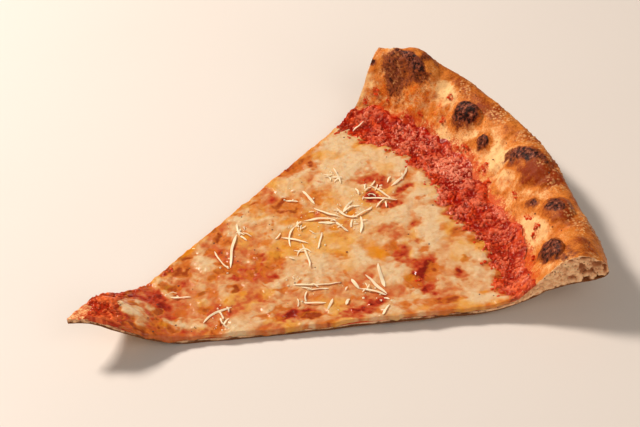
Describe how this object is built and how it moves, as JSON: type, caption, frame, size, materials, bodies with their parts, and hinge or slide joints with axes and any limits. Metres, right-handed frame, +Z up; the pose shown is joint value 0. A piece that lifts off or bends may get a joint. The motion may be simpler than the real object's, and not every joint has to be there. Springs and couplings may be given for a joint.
{
  "type": "cheese pizza slice",
  "caption": "Large thin cheese pizza slice: puffed blistered rim, bare band of crushed tomato sauce, melted mottled cheese, point and rim raised as if lying in a shallow dish.",
  "frame": {"origin": "middle of the slice's box in plan, at the height of the flat underside", "axes": "+X from the point to the rim, +Y to the left-hand cut edge seen from the point, +Z up"},
  "size_m": [0.226, 0.1734, 0.0346],
  "materials": {
    "dough": "baked golden brown skin with dark blisters, pale crumb at the cuts",
    "sauce": "wet, lumpy crushed tomato",
    "cheese": "melted, mottled cream and orange, slightly oily"
  },
  "bodies": {
    "root": {"dough": "dough", "sauce": "sauce", "cheese": "cheese"}
  },
  "joints": []
}
